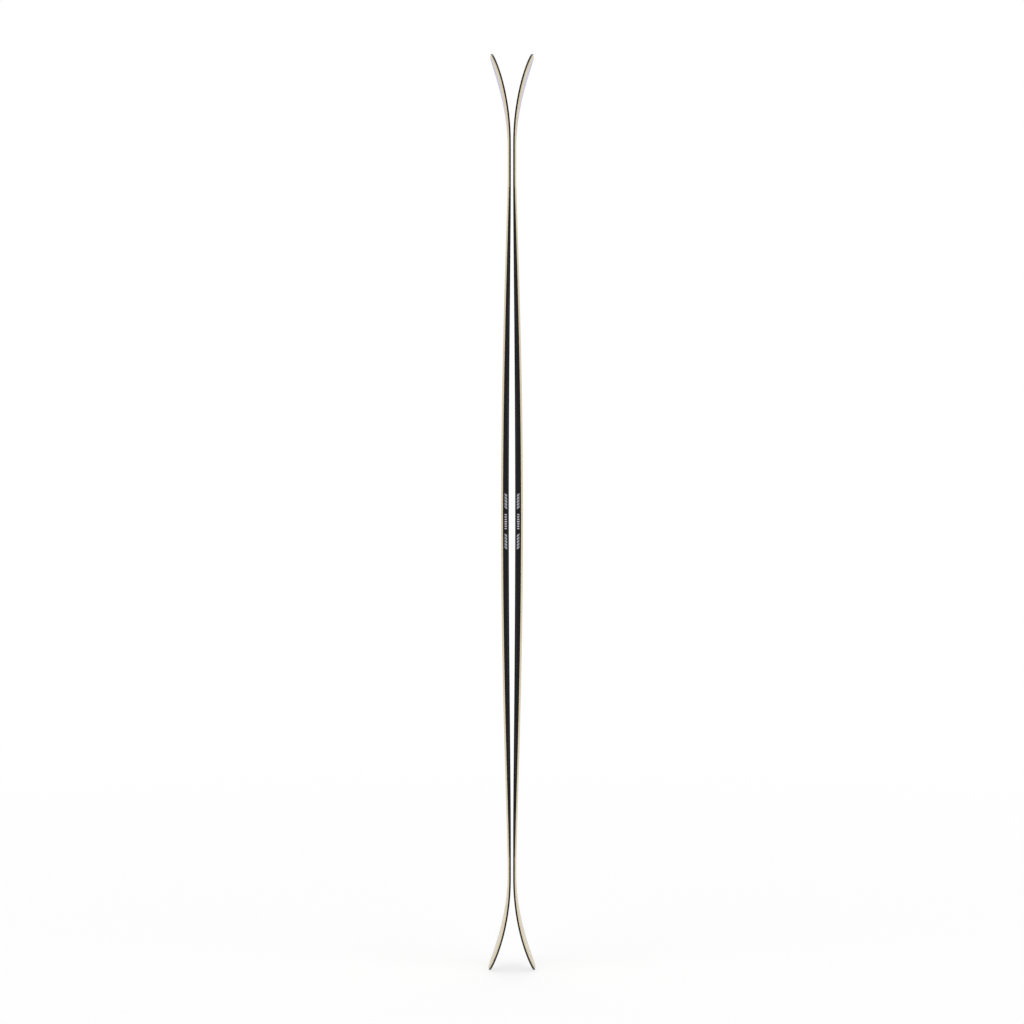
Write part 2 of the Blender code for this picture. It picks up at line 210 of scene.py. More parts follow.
class SkiShape:
    """The heights and places of a ski that follow from its sizes."""

    def __init__(self, sizes):
        z = self.sizes = sizes
        self.flange_bottom = z.base_sheet + z.glue
        self.edge_height = self.flange_bottom + z.flange
        self.rubber_bottom = self.edge_height + z.glue
        self.rubber_top = self.rubber_bottom + z.rubber
        self.laminate_bottom = self.rubber_top + z.glue
        self.laminate_top = self.laminate_bottom + z.lower_laminate
        self.core_bottom = self.laminate_top + z.glue
        self.top_stack = z.glue + z.upper_laminate + z.glue + z.topsheet
        self.end_thickness = self.core_bottom + z.spacer + self.top_stack
        self.mid_thickness = self.core_bottom + z.core + self.top_stack
        self.flange_inset = z.edge_width + z.flange_width
        tip_rise = z.tip_bend_radius * math.sin(z.tip_bend_angle)
        tail_rise = z.tail_bend_radius * math.sin(z.tail_bend_angle)
        self.half_running = (z.length - tip_rise - tail_rise) / 2
        self.tip_widest = self.half_running + z.tip_bend_radius * z.tip_bend_angle - z.tip_rounding
        self.tail_widest = -self.half_running - z.tail_bend_radius * z.tail_bend_angle + z.tail_rounding
        self.camber_reach = self.half_running - z.contact_length
        self.core_tip = z.boot_centre + z.taper_length / 2 - z.core_end_inset
        self.core_tail = z.boot_centre - z.taper_length / 2 + z.core_end_inset
        self.middle_z = self.half_running + tail_rise

    def fullness(self, s):
        """1 less the square of the distance from the boot centre in half taper lengths, to the taper's
        power."""
        share = (s - self.sizes.boot_centre) / (self.sizes.taper_length / 2)
        return np.maximum(0.0, 1 - share * share) ** self.sizes.taper_power

    def thickness(self, s):
        """The ends' thickness plus the middle's extra thickness times the fullness."""
        return self.end_thickness + (self.mid_thickness - self.end_thickness) * self.fullness(s)

    def border_bottom(self, s):
        """Along the core the top of the sidewall's ledge and a glue line, beyond it the laminate's."""
        z = self.sizes
        ledge = self.core_bottom + z.sidewall_height * self.fullness(s) + z.glue
        along_core = (s > self.core_tail - z.glue / 2) & (s < self.core_tip + z.glue / 2)
        return np.where(along_core, ledge, self.core_bottom)

    def half_width(self, s):
        """Half the waist plus half the widening times the square of the share of the way to the widest
        place."""
        z = self.sizes
        ahead = s > z.boot_centre
        widest = np.where(ahead, z.tip_width, z.tail_width)
        place = np.where(ahead, self.tip_widest, self.tail_widest)
        share = (s - z.boot_centre) / (place - z.boot_centre)
        return (z.waist_width + (widest - z.waist_width) * share * share) / 2

    def bent(self, s, y, h, facing):
        """Row-frame places of (s, y, h). Between the bends the base lies away from the contact plane by the
        camber times (1 - share squared) to the power 1.5. Past them it follows an arc, on which h is measured
        along the arc's radius. Z is mirrored for the tail, and X for the ski that faces the other way."""
        z = self.sizes
        past = np.maximum(np.abs(s) - self.half_running, 0.0)
        radius = np.where(s > 0, z.tip_bend_radius, z.tail_bend_radius)
        turn = past / radius
        share = np.minimum(1.0, np.abs(s) / self.camber_reach)
        away = z.camber * (1 - share * share) ** 1.5 + radius * (1 - np.cos(turn))
        along = np.minimum(np.abs(s), self.half_running) + radius * np.sin(turn)
        across_pair = facing * (z.pair_gap / 2 + away + h * np.cos(turn))
        up = self.middle_z + np.sign(s) * (along - h * np.sin(turn))
        return np.stack([across_pair, y, up], axis=-1)

    def side_rings(self, low, high):
        """Places along s between two limits, one ring each, closer together in the bends."""
        z = self.sizes
        half_taper = z.taper_length / 2
        marks = np.array([
            low, high, -self.half_running, self.half_running, -self.camber_reach, self.camber_reach,
            self.core_tail - z.glue, self.core_tail, self.core_tip, self.core_tip + z.glue,
            z.boot_centre - half_taper, z.boot_centre, z.boot_centre + half_taper])
        marks = np.unique(marks[(marks >= low) & (marks <= high)])
        runs = []
        for start, end in zip(marks, marks[1:]):
            step = BEND_STEP if abs(start + end) / 2 > self.half_running else RUNNING_STEP
            runs.append(np.linspace(start, end, max(1, math.ceil((end - start) / step)), endpoint=False))
        return np.concatenate(runs + [[high]])

    def whole_plan(self):
        """The outline of the whole ski: its sides and a half ellipse at each end."""
        z = self.sizes
        sides = self.side_rings(self.tail_widest, self.tip_widest)
        turns = np.linspace(0, math.pi / 2, END_RINGS + 1)[1:]
        none = np.zeros(len(sides))

        def along_ski(tail, middle, tip):
            return np.concatenate([np.full(END_RINGS, tail), middle, np.full(END_RINGS, tip)])

        return Plan(
            along_ski(self.tail_widest, sides, self.tip_widest),
            along_ski(z.tail_width / 2, self.half_width(sides), z.tip_width / 2),
            along_ski(-z.tail_rounding, none + z.tip_rounding, z.tip_rounding),
            np.concatenate([turns[::-1], none, turns]))

    def core_plan(self):
        """The outline along the core alone."""
        sides = self.side_rings(self.core_tail, self.core_tip)
        none = np.zeros(len(sides))
        return Plan(sides, self.half_width(sides), none + self.sizes.tip_rounding, none)


class Plan:
    """A row of rings: where each starts, its half width, its end's length and how far round the end it is."""

    def __init__(self, start, half, reach, turn):
        self.start, self.half, self.reach, self.turn = start, half, reach, turn

    def at(self, inset, setback):
        """Along: the start plus the sine of the turn times the end's length less inset and setback.
        Across: the cosine of the turn times the half width less the inset."""
        start, half, reach, turn = (row[:, None] for row in (self.start, self.half, self.reach, self.turn))
        run = np.sign(reach) * (np.abs(reach) - inset - setback)
        return start + run * np.sin(turn), np.maximum(half - inset, 0.0) * np.cos(turn)


def profile(plan, *corners):
    """The corners (inset, height) of a section, as an array of ring, corner and coordinate."""
    count = len(plan.start)
    places = [np.stack([np.broadcast_to(part, count) for part in corner], -1) for corner in corners]
    return np.stack(places, 1)


def rounded(corners, radii, closed=False):
    """Sections with round corners. A corner B between A and C becomes the curve
    (1-t)^2 P + 2t(1-t) B + t^2 Q, with P and Q a radius away from B towards A and C, and one more point
    beyond each to keep the faces flat."""
    t = np.linspace(0, 1, CORNER_POINTS)[None, :, None]
    last = corners.shape[1] - 1
    columns = []
    for k, radius in enumerate(radii):
        corner = corners[:, k:k + 1]
        if radius == 0 or (not closed and k in (0, last)):
            columns.append(corner)
            continue
        before = corners[:, k - 1:k] - corner if k else corners[:, last:] - corner
        after = corners[:, k + 1:k + 2] - corner if k < last else corners[:, :1] - corner
        spans = [np.linalg.norm(way, axis=-1, keepdims=True) for way in (before, after)]
        reach = np.minimum(radius, np.minimum(*spans) * CORNER_SHARE)
        start, end = (corner + way / span * reach for way, span in zip((before, after), spans))
        columns.append(start + (start - corner))
        columns.append((1 - t) ** 2 * start + 2 * t * (1 - t) * corner + t ** 2 * end)
        columns.append(end + (end - corner))
    return np.concatenate(columns, axis=1)


def quads(grid, closed=True):
    """The corners of the faces between a grid's rows, which run round where the grid is closed."""
    index = np.arange(grid.size).reshape(grid.shape)
    if closed:
        index = np.concatenate([index, index[:, :1]], axis=1)
    corners = [index[:-1, :-1], index[:-1, 1:], index[1:, 1:], index[1:, :-1]]
    return np.stack(corners, -1).reshape(-1, 4).tolist()


def placed(name, data):
    made = bpy.data.objects.new(name, data)
    bpy.context.scene.collection.objects.link(made)
    return made


def mesh_object(name, x, y, z, faces):
    mesh = bpy.data.meshes.new(name)
    mesh.from_pydata(np.stack([x, y, z], -1).reshape(-1, 3), [], faces)
    return placed(name, mesh)


def surface(name, shape, facing, places, insets, drops, ends=False):
    """A closed mesh through rings of places (s, y, h). Points that meet at a nose are merged. The mesh
    keeps the places on the straight ski and the distances from side and top, for its finish."""
    s, y, h = places
    faces = quads(s)
    if ends:
        count = s.shape[1]
        faces += [list(range(count)), list(range(s.size - count, s.size))]
    bent = shape.bent(s, y, h, facing)
    piece = mesh_object(name, bent[..., 0], bent[..., 1], bent[..., 2], faces)
    mesh = piece.data
    for label, parts in ((PLACE, (s, y, h)), (EDGE, (insets, drops, np.zeros_like(s)))):
        layer = mesh.attributes.new(label, "FLOAT_VECTOR", "POINT")
        layer.data.foreach_set("vector", np.stack(parts, -1).astype(np.float32).ravel())
    merged = bmesh.new()
    merged.from_mesh(mesh)
    bmesh.ops.remove_doubles(merged, verts=merged.verts, dist=MERGE_WITHIN)
    bmesh.ops.recalc_face_normals(merged, faces=merged.faces)
    merged.to_mesh(mesh)
    merged.free()
    mesh.shade_smooth()
    mesh.set_sharp_from_angle(angle=SHARP_FROM)
    return piece


def sheet(name, shape, facing, plan, section, radii, setback=0.0):
    """A piece that spans the ski: a side of its section, from middle line to middle line, and its mirror."""
    section = rounded(section, radii)
    inset, h = section[..., 0], section[..., 1]
    s, y = plan.at(inset, setback)
    top = h.max(axis=1, keepdims=True)
    both = [np.concatenate([side, sign * side[:, -2:0:-1]], 1) for side, sign in ((s, 1), (y, -1), (h, 1))]
    insets, drops = (np.concatenate([side, side[:, -2:0:-1]], 1) for side in (inset, top - h))
    return surface(name, shape, facing, both, insets, drops)


def strip(name, shape, facing, plan, section, radii, side):
    """A piece along one side. Where front and back pieces meet at the middle line they keep a glue line."""
    section = rounded(section, radii, closed=True)
    inset, h = section[..., 0], section[..., 1]
    s, y = plan.at(inset, 0.0)
    y = side * np.maximum(y, shape.sizes.glue / 2)
    top = h.max(axis=1, keepdims=True)
    return surface(name, shape, facing, (s, y, h), inset, top - h, ends=True)


def settle(piece, ski, node, finish):
    """Puts a finished piece in the place of its CAD node, and stops if it isn't of the node's size."""
    points = np.zeros(len(piece.data.vertices) * 3)
    piece.data.vertices.foreach_get("co", points)
    points = points.reshape(-1, 3)
    for made, wanted in zip((points.min(0), points.max(0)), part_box(node)):
        if np.abs(made - np.array(wanted)).max() > NODE_TOLERANCE:
            raise RuntimeError(f"{piece.name} isn't of the size of {node}: {made} and not {wanted}")
    piece.data.materials.append(finish)
    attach(piece, f"{ski}_ski")
    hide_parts(node)


# Finishes

class Nodes:
    """The nodes of a material or a world. A value is a number, a colour or another node's output."""

    def __init__(self, owner, kind):
        owner.use_nodes = True
        self.nodes, self.links = owner.node_tree.nodes, owner.node_tree.links
        self.nodes.clear()
        self.surface = self.nodes.new(f"ShaderNodeOutput{kind}").inputs["Surface"]

    def give(self, socket, value):
        if isinstance(value, bpy.types.NodeSocket):
            self.links.new(value, socket)
        elif hasattr(value, "__len__") and len(socket.default_value) == 4:
            socket.default_value = (*value[:3], 1.0)
        else:
            socket.default_value = value

    def node(self, kind, **values):
        """A new node with values for its sockets, whose names have _ for a space."""
        node = self.nodes.new(f"ShaderNode{kind}")
        for label, value in values.items():
            self.give(node.inputs[label.replace("_", " ")], value)
        return node

    def fill(self, node, *values):
        """Gives a node's sockets their values in order, and returns its first output."""
        for socket, value in zip(node.inputs, values):
            self.give(socket, value)
        return node.outputs[0]

    def maths(self, operation, *values):
        node = self.node("Math")
        node.operation = operation
        return self.fill(node, *values)

    def chain(self, operation, value, *others):
        for other in others:
            value = self.maths(operation, value, other)
        return value

    def times(self, *values):
        return self.chain("MULTIPLY", *values)

    def most(self, *values):
        return self.chain("MAXIMUM", *values)

    def rise(self, value, low, high, first=0.0, last=1.0):
        """A smooth step from one number to another while the value goes from low to high."""
        node = self.node("MapRange")
        node.interpolation_type = "SMOOTHSTEP"
        return self.fill(node, value, low, high, first, last)

    def band(self, value, low, high, soft):
        """1 where the value is between low and high, with soft edges."""
        start = self.rise(value, low - soft, low + soft)
        return self.times(start, self.rise(value, high - soft, high + soft, 1, 0))

    def bands(self, value, *places, soft):
        return self.most(*(self.band(value, low, high, soft) for low, high in places))

    def mix(self, share, first, second):
        node = self.node("Mix")
        node.data_type = "RGBA"
        for place, value in ((0, share), (6, first), (7, second)):
            self.give(node.inputs[place], value)
        return node.outputs[2]

    def attribute(self, name):
        node = self.node("Attribute")
        node.attribute_name = name
        return node.outputs["Vector"]

    def object_place(self):
        return self.node("TexCoord").outputs["Object"]

    def parts(self, vector):
        return self.node("SeparateXYZ", Vector=vector).outputs[:]

    def texture(self, kind, vector, scale, **values):
        """The outputs of a texture whose cells are 1 / scale metres along each axis."""
        scaled = self.node("VectorMath")
        scaled.operation = "MULTIPLY"
        return self.node(f"Tex{kind}", Vector=self.fill(scaled, vector, scale), Scale=1.0, **values).outputs

    def noise(self, vector, scale, detail=2.0, rough=0.5):
        return self.texture("Noise", vector, scale, Detail=detail, Roughness=rough)[0]

    def cells(self, vector, scale):
        return self.texture("Voronoi", vector, scale)["Distance"]

    def waves(self, vector, scale, distortion):
        return self.texture("Wave", vector, scale, Distortion=distortion, Detail=2.0)["Fac"]

    def bump(self, height, depth, before=None):
        node = self.node("Bump", Height=height, Distance=depth)
        if before is not None:
            self.give(node.inputs["Normal"], before)
        return node.outputs[0]

    def seen(self):
        """1 for a ray from the camera, a shiny surface or a clear one."""
        path = self.node("LightPath").outputs
        return self.most(path["Is Camera Ray"], path["Is Glossy Ray"], path["Is Transmission Ray"])

    def blend(self, share, first, second):
        """Shows a mixture of two shader nodes on the surface."""
        mixed = self.fill(self.node("MixShader"), share, first.outputs[0], second.outputs[0])
        self.links.new(mixed, self.surface)


class Finish(Nodes):
    """A material with one shader, in the making. The frame's material of that name is taken over."""

    def __init__(self, name, **values):
        materials = bpy.data.materials
        self.material = materials.get(name) or materials.new(name)
        super().__init__(self.material, "Material")
        self.shader = self.node("BsdfPrincipled", **values)
        self.links.new(self.shader.outputs["BSDF"], self.surface)

    def show(self, tint, roughness, normal):
        for label, value in (("Base Color", tint), ("Roughness", roughness), ("Normal", normal)):
            self.give(self.shader.inputs[label], value)
        return self.material


# Where the bands in the lavender lie, in metres along the ski
BLUE_BANDS = (0.859, 0.877), (0.887, 0.92)
SHADE_BANDS = (0.847, 0.859), (0.877, 0.887)

# Second tones of the finishes, as linear values
MILLED_PLASTIC = (0.016, 0.016, 0.019)
MOTTLED_PLASTIC = (0.004, 0.004, 0.005)
STEEL_LINES = (0.06, 0.059, 0.058)
STEEL_SPOTS = (0.05, 0.04, 0.03)
BASE_GRAINS = (0.018, 0.018, 0.021)
BASE_LINES = (0.03, 0.03, 0.034)
RUBBER_SPECKS = (0.05, 0.05, 0.05)
DARK_STRANDS = (0.06, 0.056, 0.05)
CLEAR_STRANDS = (0.66, 0.67, 0.58)
POPLAR_GRAIN = (0.42, 0.29, 0.15)
ASH_GRAIN = (0.24, 0.14, 0.06)
SPACER_SCRATCHES = (0.14, 0.14, 0.15)
PLATE_LINES = (0.3, 0.31, 0.32)


def topsheet_print(colours, sizes):
    """A print that fades from pale beige to lavender under a clear coat, and the cap's cream border."""
    f = Finish("printed_topsheet", Coat_Weight=0.12, Coat_Roughness=0.22, Specular_IOR_Level=0.3)
    place, edge = f.attribute(PLACE), f.attribute(EDGE)
    s, y, _ = f.parts(place)
    inset, drop, _ = f.parts(edge)
    from_middle = f.maths("ABSOLUTE", s)

    # The print's fade along the ski, its bands at the tip and its cream side
    cloud = f.noise(place, (9, 22, 22), 3)
    drift = f.maths("MULTIPLY_ADD", f.maths("SUBTRACT", cloud, 0.5), 0.16, s)
    tint = f.mix(f.rise(drift, -0.55, -0.2), colours.print_tail, colours.print_middle)
    tint = f.mix(f.rise(drift, 0.38, 0.72), tint, colours.print_tip)
    slanted = f.maths("MULTIPLY_ADD", y, 0.15, f.maths("MULTIPLY_ADD", cloud, 0.012, s))
    tint = f.mix(f.times(f.bands(slanted, *BLUE_BANDS, soft=1 * MM), 0.9), tint, colours.print_blue)
    tint = f.mix(f.times(f.bands(slanted, *SHADE_BANDS, soft=1 * MM), 0.7), tint, colours.print_shade)
    wander = f.maths("MULTIPLY_ADD", f.maths("SINE", f.times(s, 9.0)), 6 * MM, y)
    front = f.times(f.rise(wander, -30 * MM, 22 * MM, 1, 0), f.rise(from_middle, 0.35, 0.7))
    tint = f.mix(front, tint, colours.print_side)

    # Two lines along the rim, and the scale at the boot centre
    lines = f.most(f.band(inset, 7.5 * MM, 8.1 * MM, 0.1 * MM), f.band(inset, 9.2 * MM, 9.5 * MM, 0.08 * MM))
    tint = f.mix(f.times(lines, 0.5), tint, colours.print_shade)
    away = f.maths("SUBTRACT", s, sizes.boot_centre)
    half_pitch, reach, half_tick, half_line, soft = 5 * MM, 50 * MM, 5 * MM, 18 * MM, 0.1 * MM
    tick = f.maths("LESS_THAN", f.maths("PINGPONG", away, half_pitch), 0.25 * MM)
    scale = f.times(tick, f.band(away, -reach, reach, soft), f.band(y, -half_tick, half_tick, soft))
    centre = f.times(f.band(away, -0.4 * MM, 0.4 * MM, soft), f.band(y, -half_line, half_line, soft))
    tint = f.mix(f.times(f.most(scale, centre), 0.65), tint, colours.sidewall)
    fibre = f.noise(place, (160, 2600, 2600), 3, 0.6)
    tint = f.mix(f.rise(fibre, 0.3, 0.75, 0.0, 0.07), tint, colours.print_shade)

    # The cap's bevel and border, with chips where the bevel meets the top
    on_bevel = f.rise(inset, sizes.bevel_run - 0.1 * MM, sizes.bevel_run + 0.15 * MM, 1, 0)
    tint = f.mix(on_bevel, tint, colours.border_bevel)
    on_wall = f.rise(drop, sizes.bevel_height - 0.15 * MM, sizes.bevel_height + 0.05 * MM)
    border = f.mix(f.rise(from_middle, 0.2, 0.75), colours.border_wall, colours.border_ends)
    tint = f.mix(on_wall, tint, border)
    chips = f.rise(f.noise(place, (190, 700, 700), 4, 0.7), 0.66, 0.72)
    brink = f.band(inset, sizes.bevel_run - 0.7 * MM, sizes.bevel_run + 0.5 * MM, 0.3 * MM)
    tint = f.mix(f.times(chips, brink, 0.6), tint, colours.border_wall)
    scuff = f.rise(f.noise(place, (14, 1500, 1500), 2, 0.6), 0.72, 0.8)
    roughness = f.maths("ADD", f.rise(cloud, 0.3, 0.7, 0.3, 0.38), f.times(scuff, 0.2))
    grain = f.noise(place, (5200, 5200, 5200), 2)
    return f.show(tint, roughness, f.bump(scuff, -0.01 * MM, f.bump(grain, 0.012 * MM)))


def sidewall_plastic(colours, sizes):
    """Milled black plastic with blocks of slanted bars and a plain row of ticks at the boot centre."""
    f = Finish("milled_sidewall", Specular_IOR_Level=0.3)
    place, edge = f.attribute(PLACE), f.attribute(EDGE)
    s, _, h = f.parts(place)
    inset = f.parts(edge)[0]
    away = f.maths("SUBTRACT", s, sizes.boot_centre)
    lean = f.times(f.maths("SUBTRACT", colours.bar_top, h), colours.bar_slant)
    along = f.maths("ADD", away, lean)
    soft = 0.06 * MM
    pitch, gap = colours.bar_pitch, colours.bar_pitch - colours.bar_length
    blocks = []
    for start in (colours.bars_ahead, colours.bars_behind):
        within = f.maths("SUBTRACT", along, start)
        bar = f.maths("FLOORED_MODULO", within, pitch)
        block = f.band(within, soft * 2, pitch * colours.bar_count, soft)
        blocks.append(f.times(block, f.band(bar, gap - soft, pitch * 2, soft)))
    full_height = f.band(h, colours.bar_bottom, colours.bar_top, soft)
    bars = f.times(f.most(*blocks), full_height)
    from_middle = f.maths("SUBTRACT", away, colours.tick_middle)
    near = f.maths("PINGPONG", from_middle, colours.tick_pitch / 2)
    half_tick, half_row, half_centre = colours.tick_length / 2, 15 * MM, 1.3 * MM
    ticks = f.times(
        f.rise(near, half_tick - 0.075 * MM, half_tick + 0.075 * MM, 1, 0),
        f.band(from_middle, -half_row, half_row, soft), f.band(h, 4.0 * MM, 8.0 * MM, soft))
    centre = f.times(f.band(from_middle, -half_centre, half_centre, soft), full_height)
    row = f.most(ticks, centre)
    worn = f.rise(f.noise(place, (900, 900, 900), 4, 0.7), 0.24, 0.36)
    marks = f.times(f.most(bars, row), worn, f.rise(inset, 0.2 * MM, 0.5 * MM, 1, 0))
    milled = f.noise(place, (5, 40, 3200), 2, 0.6)
    mottled = f.noise(place, (220, 220, 220), 3)
    plastic = f.mix(f.rise(milled, 0.3, 0.75, 0, 0.4), colours.sidewall, MILLED_PLASTIC)
    plastic = f.mix(f.rise(mottled, 0.45, 0.8, 0, 0.3), plastic, MOTTLED_PLASTIC)
    fading = f.rise(h, colours.bar_bottom + 1 * MM, colours.bar_top)
    paint = f.mix(row, f.mix(fading, colours.marks, colours.marks_worn), colours.ticks)
    tint = f.mix(f.times(marks, 0.94), plastic, paint)
    chatter = f.noise(place, (700, 10, 60), 1)
    normal = f.bump(marks, 0.01 * MM, f.bump(chatter, 0.012 * MM, f.bump(milled, 0.02 * MM)))
    return f.show(tint, f.rise(mottled, 0.3, 0.75, 0.4, 0.52), normal)


def edge_steel(colours):
    """Steel with fine lines along the ski, coarser ones across it and a few dull spots, bright where it is
    ground level with the base, and with a painted dark reflection round tip and tail."""
    f = Finish("ground_steel", Metallic=1.0)
    place = f.attribute(PLACE)
    s, _, h = f.parts(place)
    along = f.noise(place, (12, 4200, 4200), 3, 0.65)
    across = f.noise(place, (3800, 30, 30), 2, 0.6)
    spots = f.rise(f.noise(place, (420, 900, 900), 4, 0.75), 0.62, 0.74)
    ground = f.rise(h, 0.05 * MM, 0.14 * MM, 1, 0)
    tint = f.mix(ground, colours.steel, colours.steel_ground)
    tint = f.mix(f.rise(along, 0.25, 0.8, 0, 0.5), tint, STEEL_LINES)
    # Painted dark reflection: the steel turns dark brownish round tip and tail
    tint = f.mix(f.rise(f.maths("ABSOLUTE", s), 0.68, 0.78, 0, 0.7), tint, colours.steel_ends_painted_reflection)
    tint = f.mix(f.times(spots, 0.45), tint, STEEL_SPOTS)
    roughness = f.maths("ADD", f.rise(across, 0.3, 0.75, 0.24, 0.36), f.times(spots, 0.2))
    return f.show(tint, roughness, f.bump(across, 0.006 * MM, f.bump(along, 0.01 * MM)))


def black_polyethylene(colours):
    """Sintered black polyethylene with fine grains, lines ground along it and shallower slanted ones."""
    f = Finish("sintered_base", Specular_IOR_Level=0.3)
    place = f.attribute(PLACE)
    grains = f.cells(place, (900, 900, 900))
    lines = f.noise(place, (6, 1900, 20), 2, 0.6)
    slanted = f.waves(place, (140, 520, 0), 1.5)
    tint = f.mix(f.rise(grains, 0.15, 0.75, 0, 0.5), colours.base, BASE_GRAINS)
    tint = f.mix(f.rise(lines, 0.55, 0.8, 0, 0.4), tint, BASE_LINES)
    roughness = f.rise(f.noise(place, (25, 60, 60), 3), 0.3, 0.7, 0.34, 0.5)
    return f.show(tint, roughness, f.bump(slanted, 0.008 * MM, f.bump(lines, 0.03 * MM)))


def black_rubber(colours):
    """Matt rubber with a fine pebbled skin and specks of filler."""
    f = Finish("damping_rubber", Specular_IOR_Level=0.2)
    place = f.attribute(PLACE)
    pebbles = f.cells(place, (2600, 2600, 2600))
    specks = f.rise(f.noise(place, (1400, 1400, 1400), 2), 0.62, 0.7)
    tint = f.mix(f.times(specks, 0.5), colours.rubber, RUBBER_SPECKS)
    return f.show(tint, f.rise(pebbles, 0.1, 0.8, 0.7, 0.9), f.bump(pebbles, 0.02 * MM))


def glass_fibre(name, tint, lighter, place_of, across, along):
    """Woven glass fibre in resin: bundles along and across the ski that go over and under each other."""
    f = Finish(name, Specular_IOR_Level=0.4)
    place = place_of(f)
    parts = f.parts(place)
    weft, warp = (
        f.maths("PINGPONG", f.maths("DIVIDE", parts[axis], pitch), 1.0)
        for axis, pitch in ((along, 1.6 * MM), (across, 1.1 * MM)))
    over = f.maths("MULTIPLY_ADD", weft, warp, f.times(f.maths("SUBTRACT", 1.0, weft), 0.4))
    strands = f.noise(place, (2400, 2400, 300), 3, 0.7)
    cloth = f.maths("ADD", f.times(over, 0.7), f.times(strands, 0.3))
    shown = f.mix(f.rise(cloth, 0.25, 0.8), tint, lighter)
    return f.show(shown, f.rise(strands, 0.3, 0.7, 0.4, 0.6), f.bump(cloth, 0.05 * MM))


def core_wood(name, tint, darker, ring, pore):
    """Quarter-sawn wood with its grain along Z: wavering growth rings, fine fibres and short dark pores."""
    f = Finish(name, Specular_IOR_Level=0.25)
    place = f.object_place()
    grain = f.waves(place, (ring, ring * 1.4, ring * 0.012), 4.0)
    fibres = f.noise(place, (1800, 1800, 30), 3, 0.6)
    pores = f.rise(f.noise(place, (1300, 1300, 70), 2, 0.6), 1 - pore, 1 - pore + 0.08)
    shown = f.mix(f.rise(grain, 0.2, 0.95, 0, 0.6), tint, darker)
    shown = f.mix(f.rise(fibres, 0.3, 0.75, 0, 0.3), shown, darker)
    shown = f.mix(f.times(pores, 0.6), shown, [part * 0.4 for part in darker])
    height = f.maths("SUBTRACT", fibres, f.times(pores, 0.8))
    return f.show(shown, f.rise(fibres, 0.3, 0.7, 0.6, 0.78), f.bump(height, 0.06 * MM))


def spacer_plastic(colours):
    """Plastic sheet sanded for the glue: crossed scratches and dull patches."""
    f = Finish("sanded_spacer", Specular_IOR_Level=0.35)
    place = f.object_place()
    scratches = f.most(f.noise(place, (2600, 2600, 90), 2, 0.7), f.noise(place, (300, 200, 2800), 2, 0.7))
    patches = f.noise(place, (60, 60, 60), 3)
    shown = f.mix(f.rise(scratches, 0.5, 0.8, 0, 0.5), colours.spacer, SPACER_SCRATCHES)
    return f.show(shown, f.rise(patches, 0.3, 0.7, 0.5, 0.72), f.bump(scratches, 0.04 * MM))


def plate_aluminium(colours):
    """Rolled aluminium: lines along the rolling direction and a slightly cloudy oxide."""
    f = Finish("rolled_aluminium", Metallic=1.0)
    place = f.object_place()
    rolled = f.noise(place, (2200, 2200, 14), 3, 0.65)
    cloudy = f.noise(place, (45, 45, 20), 3)
    shown = f.mix(f.rise(rolled, 0.25, 0.8, 0, 0.5), colours.plate, PLATE_LINES)
    return f.show(shown, f.rise(cloudy, 0.3, 0.7, 0.3, 0.46), f.bump(rolled, 0.015 * MM))


# Operators

class SkiOperator:
    """Makes the same pieces for both skis, with one finish."""

    bl_options = {"REGISTER", "UNDO"}

    def execute(self, context):
        scene = context.scene
        shape = SkiShape(scene.ski_sizes)
        finish = self.finish(scene)
        for ski, facing in SKIS:
            self.make(shape, finish, ski, facing)
        return {"FINISHED"}


class SKI_OT_topsheets(SkiOperator, bpy.types.Operator):
    """Makes the printed cap of each ski, with its bevelled border"""

    bl_idname = "ski.topsheets"
    bl_label = "Topsheets"

    def finish(self, scene):
        return topsheet_print(scene.ski_colours, scene.ski_sizes)

    def make(self, shape, finish, ski, facing):
        """Section: under the top to the border's inner face, down it, out, up the outer face, over the
        bevel and across the top in steps that grow towards the middle line."""
        z = shape.sizes
        plan = shape.whole_plan()
        top, bottom, half = shape.thickness(plan.start), shape.border_bottom(plan.start), plan.half
        foot = top - np.minimum(z.bevel_height, (top - bottom) * 0.8)
        shares = (0.08, 0.16, 0.3, 0.5, 0.75, 1.0)
        across = [(z.bevel_run + (half - z.bevel_run) * share, top) for share in shares]
        section = profile(
            plan, (half, top - z.topsheet), (z.border_wall, top - z.topsheet), (z.border_wall, bottom),
            (0.0, bottom), (0.0, foot), (z.bevel_run, top), *across)
        radii = [0, 0, 0, z.edge_round, z.cap_round, z.cap_round] + [0] * len(across)
        piece = sheet(f"{ski}_printed_cap", shape, facing, plan, section, radii, z.cap_setback)
        settle(piece, ski, f"{ski}_topsheet", finish)


class SKI_OT_sidewalls(SkiOperator, bpy.types.Operator):
    """Makes the milled sidewalls, whose ledge carries the cap's border"""

    bl_idname = "ski.sidewalls"
    bl_label = "Sidewalls"

    def finish(self, scene):
        return sidewall_plastic(scene.ski_colours, scene.ski_sizes)

    def make(self, shape, finish, ski, facing):
        z = shape.sizes
        plan = shape.core_plan()
        ledge = shape.border_bottom(plan.start) - z.glue
        top = shape.thickness(plan.start) - shape.top_stack
        shoulder = z.border_wall + z.glue
        section = profile(
            plan, (z.sidewall_width, shape.core_bottom), (0.0, shape.core_bottom), (0.0, ledge),
            (shoulder, ledge), (shoulder, top), (z.sidewall_width, top))
        radii = [0, z.wall_round * 0.4, z.wall_round * 0.4, 0, z.wall_round, 0]
        for hand, side in SIDES:
            piece = strip(f"{ski}_milled_sidewall_{hand}", shape, facing, plan, section, radii, side)
            settle(piece, ski, f"{ski}_sidewall_{hand}", finish)


